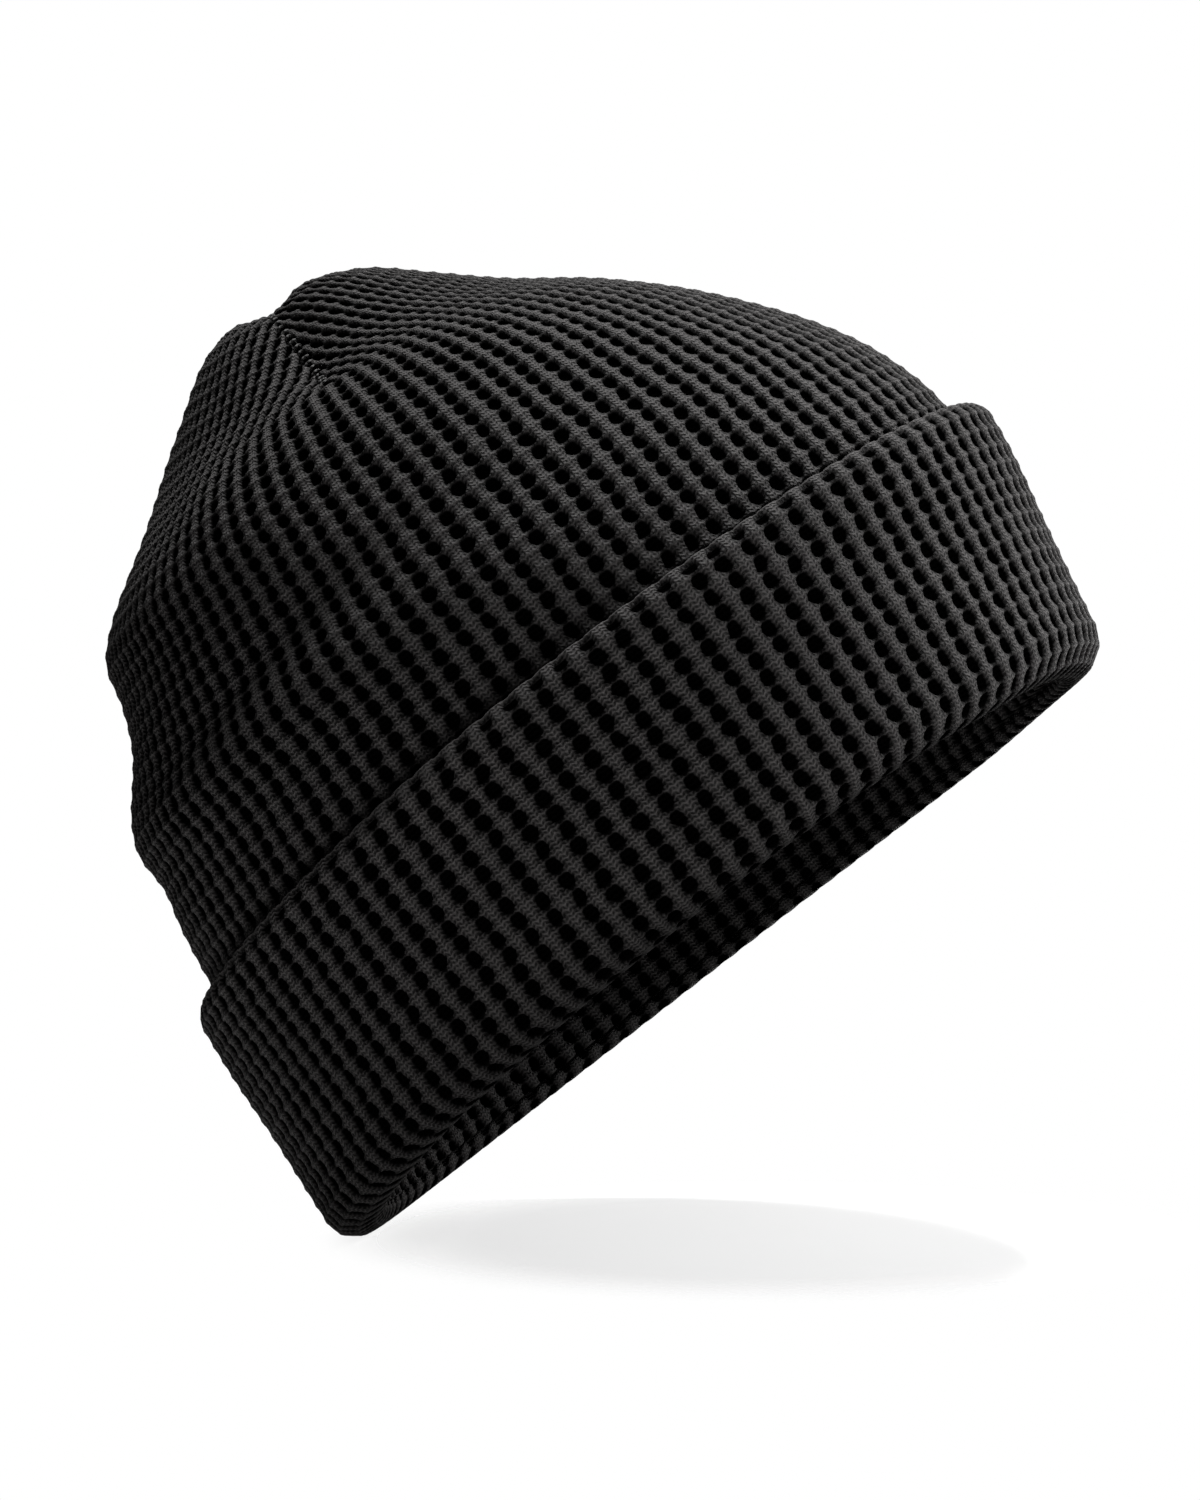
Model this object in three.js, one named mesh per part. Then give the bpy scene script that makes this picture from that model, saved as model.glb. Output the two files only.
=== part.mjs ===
// A double-layer waffle-knit beanie with a turned-up cuff. Millimetres, +Z up, the rim stands on
// z = 0, and the forehead side faces -Y, so the wearer's right is -X. The origin is the middle of the rim.
import * as THREE from "three";

// ---- Driving sizes ----
const SHELL_LENGTH = 193; // outer face of the shell, front to back, at the top of the cuff
const SHELL_WIDTH = 170; // outer face of the shell, side to side, at the top of the cuff
const HAT_HEIGHT = 168; // rim to the highest point of the crown
const CUFF_HEIGHT = 60; // rim to the folded top edge of the turn-up
const CUFF_TILT = 1.2; // how much higher the cuff's top edge is at the front, and lower at the back
const LAYER = 2.9; // thickness of one knit layer
const GAP = 0.35; // clearance between two layers that touch
const RIM_ROUND = 4.4; // outer rounding of the turn under the rim
const RIM_ROUND_INSIDE = 2.2; // rounding of the same turn on the head side
const DART_LENGTH = 56; // crown darts, from the crown point down
const DART_DIP = 2; // how deep a dart's valley pulls into the crown
const DART_SPREAD = 5; // half width of that valley
const SEAM_WIDTH = 1.6; // linking thread of a dart
const SEAM_HEIGHT = 1.1;
const TACK_ROOM = 3.4; // extra room between the layers at the crown point
const TACK_DIAMETER = 5; // thread bundle in that room
const DROP_START = 0.86; // rise above which the lining hangs away to make that room
const TACK_CLEARANCE = 0.8; // from each end of the bundle to the layer beside it

// ---- Fineness of the faceted solids ----
const AROUND = 48; // steps round the head, a multiple of 4 so that a dart lies on a step
const WALL_ROWS = 10; // rows of a dome from the rim to the lower end of the darts
const DART_ROWS = 9; // rows from there to the crown point
const FIRST_RISE = 0.08; // first shared row of the domes
const LAST_RISE = 0.985; // last row before the crown point

// ---- Outlines of the shell's outer face, as shares of the sizes above ----
// [reach from the middle, height]: reach 1 is half the length or width at the top of the cuff.
const FRONT_OUTLINE = [
  [0.907, 0], [0.973, 0.18], [1.026, 0.37], [0.992, 0.464], [0.934, 0.536], [0.855, 0.607],
  [0.756, 0.679], [0.63, 0.75], [0.477, 0.821], [0.33, 0.893], [0.204, 0.958], [0.12, 0.979],
  [0.05, 0.984], [0, 0.984],
];
const BACK_OUTLINE = [
  [1.028, 0], [1.004, 0.18], [0.983, 0.34], [0.962, 0.429], [0.94, 0.482], [0.938, 0.536],
  [0.912, 0.571], [0.819, 0.643], [0.775, 0.7], [0.75, 0.75], [0.69, 0.786], [0.508, 0.857],
  [0.342, 0.929], [0.21, 0.978], [0.127, 0.991], [0.045, 0.988], [0, 0.984],
];
const SIDE_OUTLINE = [
  [0.955, 0], [0.985, 0.18], [1, 0.36], [0.965, 0.476], [0.894, 0.565], [0.824, 0.643],
  [0.747, 0.708], [0.665, 0.762], [0.582, 0.798], [0.494, 0.827], [0.406, 0.857], [0.335, 0.893],
  [0.253, 0.94], [0.176, 0.972], [0.082, 0.986], [0, 0.984],
];

function meridian(outline, halfSize) {
  const points = outline.map(
    ([reach, height]) => new THREE.Vector3(reach * halfSize, height * HAT_HEIGHT, 0),
  );
  const curve = new THREE.CatmullRomCurve3(points, false, "centripetal");
  curve.arcLengthDivisions = 400;
  return curve;
}

const frontCurve = meridian(FRONT_OUTLINE, SHELL_LENGTH / 2);
const backCurve = meridian(BACK_OUTLINE, SHELL_LENGTH / 2);
const sideCurve = meridian(SIDE_OUTLINE, SHELL_WIDTH / 2);
const domeLength = sideCurve.getLength();
const dartRise = 1 - DART_LENGTH / domeLength;

function smooth(start, end, value) {
  return THREE.MathUtils.smoothstep(value, start, end);
}

// Depth of the dart valleys: four of them, a quarter turn apart, fading out at the end of each dart.
function dartDip(angle, rise, radius) {
  const toDart = angle - Math.round(angle / (Math.PI / 2)) * (Math.PI / 2);
  const across = (radius * Math.sin(toDart)) / DART_SPREAD;
  return DART_DIP * Math.exp(-across * across) * smooth(dartRise, (1 + dartRise) / 2, rise);
}

// A point of the shell's outer face. The angle is 0 at the front and a quarter turn at the wearer's
// left, and the rise is the share of the way from the rim, 0, to the crown point, 1.
function shellPoint(angle, rise) {
  const front = frontCurve.getPointAt(rise);
  const back = backCurve.getPointAt(rise);
  const side = sideCurve.getPointAt(rise);
  const c = Math.cos(angle);
  const ahead = ((front.x + back.x) / 2) * c + ((front.x - back.x) / 2) * c * c;
  const height = side.y + ((front.y - back.y) / 2) * c + ((front.y + back.y) / 2 - side.y) * c * c;
  return new THREE.Vector3(side.x * Math.sin(angle), -ahead, height);
}

// The rise at which the shell's outer face has a given height, beside the cuff.
function riseAtHeight(angle, height) {
  let low = 0;
  let high = 0.6;
  for (let i = 0; i < 40; i++) {
    const middle = (low + high) / 2;
    if (shellPoint(angle, middle).z < height) low = middle;
    else high = middle;
  }
  return low;
}

const bandEnd = riseAtHeight(Math.PI / 2, CUFF_HEIGHT + CUFF_TILT);

// The direction in which layers stack: level beside the cuff, square to the fabric above it, and
// upright at the crown point, where the meridians meet.
function outward(angle, rise) {
  const step = 0.004;
  const at = Math.min(rise, 0.96);
  const along = shellPoint(angle + step, at).sub(shellPoint(angle - step, at));
  const up = shellPoint(angle, at + step).sub(shellPoint(angle, Math.max(at - step, 0)));
  const square = along.clone().cross(up).normalize();
  const level = new THREE.Vector3(along.y, -along.x, 0).normalize();
  const direction = level.lerp(square, smooth(bandEnd, bandEnd + 0.12, rise)).normalize();
  return direction.lerp(new THREE.Vector3(0, 0, 1), smooth(0.93, 1, rise)).normalize();
}

function layerPoint(angle, rise, offset) {
  const point = shellPoint(angle, rise);
  const dip = dartDip(angle, rise, Math.hypot(point.x, point.y));
  return point.addScaledVector(outward(angle, rise), offset - dip);
}

// How far the lining hangs away from the shell near the crown point, to make room for the tack.
function liningDrop(depth, rise) {
  return depth * smooth(DROP_START, LAST_RISE, rise);
}

// ---- Solids from rows of points ----
function solid(vertices, faces) {
  const geometry = new THREE.BufferGeometry();
  const flat = vertices.flatMap((v) => [v.x, v.y, v.z]);
  geometry.setAttribute("position", new THREE.BufferAttribute(new Float32Array(flat), 3));
  geometry.setIndex(faces.flat());
  geometry.computeVertexNormals();
  return geometry;
}

function quad(a, b, c, d) {
  return [a, b, c, a, c, d];
}

// A closed section carried round the head. Its points are [height share, height, offset], or
// [0, 0, offset, rise] where they lie on a row of the shell.
function bandSolid(section) {
  const vertices = [];
  const faces = [];
  const count = section.length;
  for (let i = 0; i < AROUND; i++) {
    const angle = (i / AROUND) * 2 * Math.PI;
    const top = CUFF_HEIGHT + CUFF_TILT * Math.cos(angle);
    for (const [share, height, offset, row] of section) {
      const z = share * top + height;
      const point = layerPoint(angle, row ?? riseAtHeight(angle, z), offset);
      if (row === undefined) point.z = z;
      vertices.push(point);
    }
  }
  for (let i = 0; i < AROUND; i++) {
    const here = i * count;
    const next = ((i + 1) % AROUND) * count;
    for (let j = 0; j < count; j++) {
      const k = (j + 1) % count;
      faces.push(quad(here + j, next + j, next + k, here + k));
    }
  }
  return solid(vertices, faces);
}

// Rows that the shell, the lining and the dart threads share, so that their facets stay parallel.
function evenly(from, to, steps) {
  return Array.from({ length: steps + 1 }, (_, i) => from + ((to - from) * i) / steps);
}
const dartRows = evenly(dartRise, LAST_RISE, DART_ROWS);
const domeRows = [...evenly(FIRST_RISE, dartRise, WALL_ROWS), ...dartRows.slice(1)];

// A dome of one layer between two offsets from the shell's outer face, open at the rim.
function domeSolid(outer, inner, bottom, crownDrop) {
  const vertices = [];
  const faces = [];
  for (const offset of [outer, inner]) {
    for (const row of [null, ...domeRows]) {
      for (let i = 0; i < AROUND; i++) {
        const angle = (i / AROUND) * 2 * Math.PI;
        const rise = row ?? riseAtHeight(angle, bottom);
        const point = layerPoint(angle, rise, offset - liningDrop(crownDrop, rise));
        if (row === null) point.z = bottom;
        vertices.push(point);
      }
    }
    vertices.push(layerPoint(0, 1, offset - crownDrop));
  }
  const face = vertices.length / 2;
  const last = domeRows.length * AROUND;
  for (let i = 0; i < AROUND; i++) {
    const n = (i + 1) % AROUND;
    for (let a = 0; a < last; a += AROUND) {
      const b = a + AROUND;
      faces.push(quad(a + i, a + n, b + n, b + i));
      faces.push(quad(face + a + i, face + b + i, face + b + n, face + a + n));
    }
    faces.push([last + i, last + n, face - 1]);
    faces.push([face + last + n, face + last + i, 2 * face - 1]);
    faces.push(quad(i, face + i, face + n, n));
  }
  return solid(vertices, faces);
}

// A thread laid along a dart from the dart's lower end to near the crown point. A positive base puts
// it on the outside of the shell, and a negative one on the head side of the lining.
function seamSolid(angle, base, crownDrop) {
  const vertices = [];
  const faces = [];
  const away = Math.sign(base);
  const section = [[-0.5, 0], [0.5, 0], [0.3, 1], [-0.3, 1]];
  for (const rise of dartRows) {
    const foot = layerPoint(angle, rise, base - liningDrop(crownDrop, rise));
    const out = outward(angle, rise).multiplyScalar(away * SEAM_HEIGHT);
    const across = new THREE.Vector3(Math.cos(angle), Math.sin(angle), 0).multiplyScalar(SEAM_WIDTH);
    for (const [side, up] of section) {
      vertices.push(foot.clone().addScaledVector(across, side).addScaledVector(out, up));
    }
  }
  const push = (face) => faces.push(away < 0 ? face : face.reverse());
  for (let j = 0; j < DART_ROWS; j++) {
    for (let k = 0; k < 4; k++) {
      const n = (k + 1) % 4;
      push(quad(4 * j + k, 4 * j + n, 4 * j + 4 + n, 4 * j + 4 + k));
    }
  }
  push(quad(3, 2, 1, 0));
  const end = 4 * DART_ROWS;
  push(quad(end, end + 1, end + 2, end + 3));
  return solid(vertices, faces);
}

function arc(share, height, offset, radius, from, to, steps) {
  const points = [];
  for (let i = 0; i <= steps; i++) {
    const a = THREE.MathUtils.degToRad(from + ((to - from) * i) / steps);
    points.push([share, height + radius * Math.sin(a), offset + radius * Math.cos(a)]);
  }
  return points;
}

// ---- Where each layer lies, as offsets from the shell's outer face ----
const cuffInnerFace = GAP;
const cuffInnerBack = cuffInnerFace + LAYER;
const cuffOuterFace = cuffInnerBack + GAP;
const cuffOuterBack = cuffOuterFace + LAYER;
const liningFace = -(LAYER + GAP);
const liningBack = liningFace - LAYER;
const foldRadius = (cuffOuterBack - cuffInnerFace) / 2;

// Points of a cuff layer's face on the shell's own rows, as far up as the layer's straight part goes.
const straightEnd = CUFF_HEIGHT - CUFF_TILT - foldRadius - LAYER;
const cuffRows = domeRows.filter((rise) =>
  [0, Math.PI / 2, Math.PI].every((angle) => shellPoint(angle, rise).z < straightEnd),
);

function wallUp(offset) {
  return cuffRows.map((rise) => [0, 0, offset, rise]);
}

function wallDown(offset) {
  return wallUp(offset).reverse();
}

function cuffOuterSection() {
  const foldMiddle = cuffInnerFace + foldRadius;
  return [
    ...arc(1, -foldRadius, foldMiddle, foldRadius, 0, 180, 6),
    ...arc(1, -foldRadius, foldMiddle, foldRadius - LAYER, 180, 0, 2),
    ...wallDown(cuffOuterFace),
    [0, LAYER, cuffOuterFace],
    [0, LAYER, liningBack],
    ...arc(0, RIM_ROUND_INSIDE, liningBack + RIM_ROUND_INSIDE, RIM_ROUND_INSIDE, 180, 270, 2),
    ...arc(0, RIM_ROUND, cuffOuterBack - RIM_ROUND, RIM_ROUND, 270, 360, 4),
    ...wallUp(cuffOuterBack),
  ];
}

function cuffInnerSection() {
  const floor = LAYER + GAP;
  const round = LAYER / 2;
  return [
    [1, -foldRadius - GAP, cuffInnerBack],
    [1, -foldRadius - GAP, cuffInnerFace],
    ...wallDown(cuffInnerFace),
    [0, floor + LAYER, cuffInnerFace],
    [0, floor + LAYER, -LAYER],
    [0, floor, -LAYER],
    ...arc(0, floor + round, cuffInnerBack - round, round, 270, 360, 2),
    ...wallUp(cuffInnerBack),
  ];
}

// Heights of a layer's face at the crown point and all round the tack, on the layer's own facets.
function heightsAtTack(offset, crownDrop) {
  const face = (angle, rise) => layerPoint(angle, rise, offset - liningDrop(crownDrop, rise));
  const crown = face(0, 1);
  const heights = [crown.z];
  for (let i = 0; i < AROUND; i++) {
    let near = crown;
    let nearReach = 0;
    for (const rise of [...domeRows].reverse()) {
      const far = face((i / AROUND) * 2 * Math.PI, rise);
      const reach = Math.hypot(far.x - crown.x, far.y - crown.y);
      if (reach >= TACK_DIAMETER / 2) {
        const share = (TACK_DIAMETER / 2 - nearReach) / (reach - nearReach);
        heights.push(near.z + (far.z - near.z) * share);
        break;
      }
      heights.push(far.z);
      near = far;
      nearReach = reach;
    }
  }
  return heights;
}

// The tack stands in the room between the shell's underside and the lining's top.
function tackSolid() {
  const top = Math.min(...heightsAtTack(-LAYER, 0)) - TACK_CLEARANCE;
  const bottom = Math.max(...heightsAtTack(liningFace, TACK_ROOM)) + TACK_CLEARANCE;
  const radius = TACK_DIAMETER / 2;
  const geometry = new THREE.CylinderGeometry(radius, radius, top - bottom, 12, 1);
  geometry.rotateX(Math.PI / 2);
  const crown = layerPoint(0, 1, 0);
  geometry.translate(crown.x, crown.y, (top + bottom) / 2);
  return geometry;
}

function piece(name, geometry, color, roughness) {
  const material = new THREE.MeshStandardMaterial({ color, roughness, metalness: 0 });
  const mesh = new THREE.Mesh(geometry, material);
  mesh.name = name;
  return mesh;
}

const KNIT = 0x1b1a1a;
const THREAD = 0x111111;
const beanie = new THREE.Group();
beanie.add(piece("crown_shell", domeSolid(0, -LAYER, 2 * (LAYER + GAP), 0), KNIT, 0.95));
beanie.add(
  piece("crown_lining", domeSolid(liningFace, liningBack, LAYER + GAP, TACK_ROOM), KNIT, 0.95),
);
beanie.add(piece("cuff_outer_layer", bandSolid(cuffOuterSection()), KNIT, 0.95));
beanie.add(piece("cuff_inner_layer", bandSolid(cuffInnerSection()), KNIT, 0.95));
["front", "left", "back", "right"].forEach((side, i) => {
  const angle = (i * Math.PI) / 2;
  beanie.add(piece("shell_dart_seam_" + side, seamSolid(angle, GAP, 0), THREAD, 0.7));
  const underside = liningBack - GAP;
  beanie.add(piece("lining_dart_seam_" + side, seamSolid(angle, underside, TACK_ROOM), THREAD, 0.7));
});
beanie.add(piece("crown_tack", tackSolid(), THREAD, 0.7));

export default beanie;
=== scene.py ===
import math

import bpy
import numpy as np
from mathutils import Matrix, Vector


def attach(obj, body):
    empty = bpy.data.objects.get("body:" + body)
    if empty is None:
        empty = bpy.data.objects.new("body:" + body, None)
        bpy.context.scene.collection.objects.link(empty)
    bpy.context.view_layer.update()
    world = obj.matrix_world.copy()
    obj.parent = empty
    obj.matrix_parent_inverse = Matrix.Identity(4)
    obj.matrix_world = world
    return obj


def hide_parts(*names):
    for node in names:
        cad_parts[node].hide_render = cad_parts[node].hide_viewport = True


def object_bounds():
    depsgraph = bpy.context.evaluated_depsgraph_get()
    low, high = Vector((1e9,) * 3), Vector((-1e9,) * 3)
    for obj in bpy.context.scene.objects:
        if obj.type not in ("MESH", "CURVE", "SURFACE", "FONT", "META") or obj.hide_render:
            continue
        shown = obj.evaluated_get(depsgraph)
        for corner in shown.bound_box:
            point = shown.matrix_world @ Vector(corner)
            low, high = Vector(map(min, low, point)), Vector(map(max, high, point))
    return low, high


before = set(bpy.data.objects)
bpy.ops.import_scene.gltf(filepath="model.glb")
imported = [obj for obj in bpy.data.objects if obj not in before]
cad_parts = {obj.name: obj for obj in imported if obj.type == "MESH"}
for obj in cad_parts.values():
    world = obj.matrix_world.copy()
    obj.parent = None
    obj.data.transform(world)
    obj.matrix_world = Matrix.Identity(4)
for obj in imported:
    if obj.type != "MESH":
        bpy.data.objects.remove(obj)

cad_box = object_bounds()
MM = 0.001

# ---- Camera ----
# A long lens looks at the wearer's right side of the hat from a little below the plane of its rim.
# It is rolled, so that the hat lies back with its forehead end lifted.
EYE_DISTANCE = 1.0                 # metres from the middle of the hat
EYE_HEIGHT = -0.066                # metres over the rim's plane
EYE_AZIMUTH = math.radians(270)    # from the front, by the wearer's left, to the wearer's right
ROLL = math.radians(37.6)          # how far the hat lies back in the picture
AIM_RIGHT, AIM_DOWN = 19 * MM, 26.5 * MM  # the picture's middle, from the hat's middle
LENS, SENSOR_WIDTH = 115.2, 36     # millimetres

hat_middle = (cad_box[0] + cad_box[1]) / 2
level_distance = math.sqrt(EYE_DISTANCE**2 - (hat_middle.z - EYE_HEIGHT) ** 2)
eye = Vector((
    math.sin(EYE_AZIMUTH) * level_distance,
    -math.cos(EYE_AZIMUTH) * level_distance,
    EYE_HEIGHT,
))


def picture_axes(target):
    """The way the camera looks at a target, and what is then right and up in the picture."""
    ahead = (target - eye).normalized()
    level_right = ahead.cross(Vector((0, 0, 1))).normalized()
    level_up = level_right.cross(ahead)
    right = math.cos(ROLL) * level_right - math.sin(ROLL) * level_up
    return ahead, right, math.sin(ROLL) * level_right + math.cos(ROLL) * level_up


look, picture_right, picture_up = picture_axes(hat_middle)
aim = hat_middle + AIM_RIGHT * picture_right - AIM_DOWN * picture_up
look, picture_right, picture_up = picture_axes(aim)
camera_data = bpy.data.cameras.new("camera")
camera_data.sensor_width = SENSOR_WIDTH
camera_data.lens = LENS
camera = bpy.data.objects.new("camera", camera_data)
turn = Matrix((picture_right, picture_up, -look)).transposed()
camera.matrix_world = Matrix.Translation(eye) @ turn.to_4x4()
bpy.context.scene.collection.objects.link(camera)
bpy.context.scene.camera = camera

# ---- Crown shell ----
# The outer layer of the hat: one waffle-knitted tube of fine black yarn, drawn over the head from the
# rim to the crown, where four darts close it. Its wall slumps into soft folds behind the head.
SHELL_LENGTH, SHELL_WIDTH, HAT_HEIGHT = 193 * MM, 170 * MM, 168 * MM
CUFF_HEIGHT = 60 * MM
CUFF_TILT = 1.2 * MM     # how much higher the cuff stands at the forehead than at the ears
LAYER, GAP = 2.9 * MM, 0.35 * MM
DART_LENGTH = 56 * MM
DART_DIP = 2 * MM        # how deep the crown dips along a dart
DART_SPREAD = 5 * MM     # how far to each side the dip reaches
DART_CLOSING = 0.65      # how soon the columns next to a dart go into its seam
DART_TURN = 0.25         # how much the columns lean from the ears towards front and back, up there
SEAM_SINK = 1.6 * MM     # how deep the edges of the cloth go into a seam
SEAM_PAINTED_SHADE = 0.95         # how dark the painted shade in a seam is, against that at the bottom of a pocket
SLIT_WIDTH, EYELET_WIDTH = 0.28, 0.75  # millimetres from a seam's middle, between and at its eyelets
EYELET_SPACING = 4.6 * MM
EAR_LIFT = 4.8 * MM      # how much the rim arches up over each ear
FRONT_LIFT = 1.2 * MM    # how much the rim turns up at the forehead
FOLD_SAG = (2.6 * MM, 0.9 * MM)  # how much lower the cuff's fold lies at front and back, and at the ears
SWELL = 0.2 * MM         # one part of the shell's unevenness
CREASE_HEIGHT, CREASE_SLOPE = 101 * MM, 5 * MM  # of the crease behind the ears
CREASE_DEPTH, CREASE_REACH = 1.6 * MM, 5 * MM
SLUMP_BELOW, SLUMP_DEPTH, SLUMP_REACH = 14 * MM, 1.2 * MM, 8 * MM  # of the roll under the crease
COLUMNS = 104            # waffle cells round the head
CELL_HEIGHT = 3.85 * MM  # one waffle cell along the hat
POCKET_DEPTH = 1.2 * MM

# The shell's outlines from the rim to the crown point: how far out, as a share of half the shell's
# length or width, and how high, as a share of the hat's height.
FRONT_OUTLINE = [
    (0.907, 0), (0.973, 0.18), (1.026, 0.37), (0.992, 0.464), (0.934, 0.536), (0.855, 0.607),
    (0.756, 0.679), (0.63, 0.75), (0.477, 0.821), (0.35, 0.893), (0.232, 0.957), (0.14, 0.982),
    (0.06, 0.988), (0, 0.988),
]
BACK_OUTLINE = [
    (1.028, 0), (1.004, 0.18), (0.983, 0.34), (0.962, 0.429), (0.94, 0.482), (0.938, 0.536),
    (0.912, 0.571), (0.819, 0.643), (0.775, 0.7), (0.75, 0.75), (0.69, 0.786), (0.508, 0.857),
    (0.342, 0.929), (0.21, 0.98), (0.127, 0.996), (0.045, 0.992), (0, 0.988),
]
SIDE_OUTLINE = [
    (0.955, 0), (0.985, 0.18), (1, 0.36), (0.965, 0.476), (0.894, 0.565), (0.824, 0.643),
    (0.747, 0.708), (0.665, 0.762), (0.582, 0.798), (0.494, 0.827), (0.406, 0.857), (0.335, 0.893),
    (0.253, 0.94), (0.176, 0.975), (0.082, 0.99), (0, 0.988),
]


def smooth(start, end, value):
    """A soft step from 0 at the start to 1 at the end."""
    share = np.clip((value - start) / (end - start), 0, 1)
    return share * share * (3 - 2 * share)


STEPS_BETWEEN = 60       # steps of a smooth outline between two of its points


def meridian(outline, half_size):
    """A smooth line through the outline: shares of its length, reaches, heights, and its length.
    Its points are spaced by the square root of their distances, so that it never loops."""
    p = np.array([(reach * half_size, height * HAT_HEIGHT) for reach, height in outline])
    p = np.vstack([2 * p[0] - p[1], p, 2 * p[-1] - p[-2]])
    knot = np.concatenate([[0], np.cumsum(np.linalg.norm(np.diff(p, axis=0), axis=1) ** 0.5)])
    line = []
    for i in range(1, len(p) - 2):
        t = np.linspace(knot[i], knot[i + 1], STEPS_BETWEEN)[:, None]

        def between(a, b, from_knot, to_knot):
            return ((to_knot - t) * a + (t - from_knot) * b) / (to_knot - from_knot)

        a1 = between(p[i - 1], p[i], knot[i - 1], knot[i])
        a2 = between(p[i], p[i + 1], knot[i], knot[i + 1])
        a3 = between(p[i + 1], p[i + 2], knot[i + 1], knot[i + 2])
        b1 = between(a1, a2, knot[i - 1], knot[i + 1])
        b2 = between(a2, a3, knot[i], knot[i + 2])
        line.append(between(b1, b2, knot[i], knot[i + 1]))
    line = np.vstack(line)
    length = np.concatenate([[0], np.cumsum(np.linalg.norm(np.diff(line, axis=0), axis=1))])
    return length / length[-1], line[:, 0], line[:, 1], length[-1]


front_line = meridian(FRONT_OUTLINE, SHELL_LENGTH / 2)
back_line = meridian(BACK_OUTLINE, SHELL_LENGTH / 2)
side_line = meridian(SIDE_OUTLINE, SHELL_WIDTH / 2)
dome_length = side_line[3]
dart_rise = 1 - DART_LENGTH / dome_length
dome_rows = round(dome_length / CELL_HEIGHT)


def shell_points(angle, rise):
    """Points of the shell's outer face. Angle 0 is the front, a quarter turn the wearer's left."""
    def at(line, k):
        return np.interp(rise, line[0], line[k])
    c = np.cos(angle)
    ahead = (at(front_line, 1) + at(back_line, 1)) / 2 * c
    ahead = ahead + (at(front_line, 1) - at(back_line, 1)) / 2 * c * c
    height = at(side_line, 2) + (at(front_line, 2) - at(back_line, 2)) / 2 * c
    height = height + ((at(front_line, 2) + at(back_line, 2)) / 2 - at(side_line, 2)) * c * c
    return np.stack([at(side_line, 1) * np.sin(angle), -ahead, height], axis=-1)


def dart_share(rise):
    """How far a dart's dip has set in: none below the dart's lower end, all of it well above."""
    return smooth(dart_rise - 0.02, dart_rise + 0.1, rise)


def seam_share(rise):
    """How far a dart's seam has opened: it is full just above the dart's lower end."""
    return smooth(dart_rise - 0.012, dart_rise + 0.02, rise)


def crown_share(rise):
    """How near the crown point is: relief and unevenness die out here, where all columns meet."""
    return smooth(0.96, 0.985, rise)


def drop_share(rise):
    """How much of its drop a layer has that hangs away from its neighbour at the crown."""
    return smooth(0.86, 0.985, rise)


def unit(v):
    """Vectors of length 1 that point the same way."""
    return v / np.maximum(np.linalg.norm(v, axis=-1, keepdims=True), 1e-12)


def outward(angle, rise):
    """Directions square to the shell, turning upright at the crown point."""
    step = 0.004
    at = np.clip(rise, step, 0.96)
    along = shell_points(angle + step, at) - shell_points(angle - step, at)
    up = shell_points(angle, at + step) - shell_points(angle, at - step)
    upright = smooth(0.93, 1, rise)[..., None]
    return unit(unit(np.cross(along, up)) * (1 - upright) + np.array([0, 0, 1]) * upright)


def ear_lift(angle, height):
    """The rim arches up over the ears, and the rows above it follow, less and less to the fold. The
    0.2 rounds the arch off at front and back, and 0.82 is what is then left of its height."""
    arch = EAR_LIFT / 0.82 * (np.sqrt(np.sin(angle) ** 2 + 0.04) - 0.2)
    arch = arch + FRONT_LIFT * smooth(0.7, 1, np.cos(angle))
    return arch * np.clip(1 - height / CUFF_HEIGHT, 0, 1)


def unevenness(angle, rise):
    """Slow swells of fabric that was shaped by hand, within half a millimetre."""
    swell = np.sin(3 * angle + 9 * rise) + 0.7 * np.sin(7 * angle - 14 * rise + 1)
    return SWELL * (swell + 0.5 * np.sin(13 * angle + 31 * rise + 2))


def slump(angle, height):
    """Behind the ears a crease runs level from the back, with a roll of fabric under it."""
    crease = CREASE_HEIGHT + CREASE_SLOPE * np.cos(angle)
    behind = smooth(-0.1, 0.5, -np.cos(angle)) * smooth(0, 0.35, np.sin(angle) ** 2)
    dip = CREASE_DEPTH * np.exp(-(((height - crease) / CREASE_REACH) ** 2))
    under = height - crease + SLUMP_BELOW
    return behind * (SLUMP_DEPTH * np.exp(-((under / SLUMP_REACH) ** 2)) - dip)


# A waffle cell's mesh: its rows from a pocket's middle to the next, in cells. On each row, the half
# widths of the pocket's floor and mouth, in cells; how deep its middle, the ribs' edges and the ribs
# lie, in pocket depths; and how dark the painted shade makes the middle and the edges, where shade
# falls in the pocket.
CELL_ROWS = (0.0, 0.3, 0.44, 0.56, 0.71)
FLOOR_WIDTH = (0.22, 0.16, 0.09, 0.09, 0.175)
MOUTH_WIDTH = (0.305, 0.245, 0.18, 0.18, 0.265)
MIDDLE_DEPTH = (1.0, 0.97, 0.36, 0.36, 0.97)
EDGE_DEPTH = (0.34, 0.28, 0.12, 0.12, 0.28)
RIB_DEPTH = (0.2, 0.14, 0.0, 0.0, 0.14)
MIDDLE_PAINTED_SHADE = (1.0, 1.0, 0.7, 0.7, 1.0)
EDGE_PAINTED_SHADE = (0.42, 0.42, 0.36, 0.36, 0.42)
FLOOR_EDGE_DEPTH, FLOOR_EDGE_PAINTED_SHADE = 0.95, 0.97  # of the floor's edge, as a share of its middle
SHIFT_SPREAD, WIDTH_SPREAD = 0.028, 0.09  # of how pockets differ: in cells, and in widths
jitter = np.random.default_rng(7)


def cell_rows(first, last):
    """Knit rows of a mesh from one whole cell to another, and which row of a cell each one is."""
    v = np.array([k + s for k in range(first, last) for s in CELL_ROWS])
    return v, np.tile(np.arange(len(CELL_ROWS)), last - first)


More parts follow.
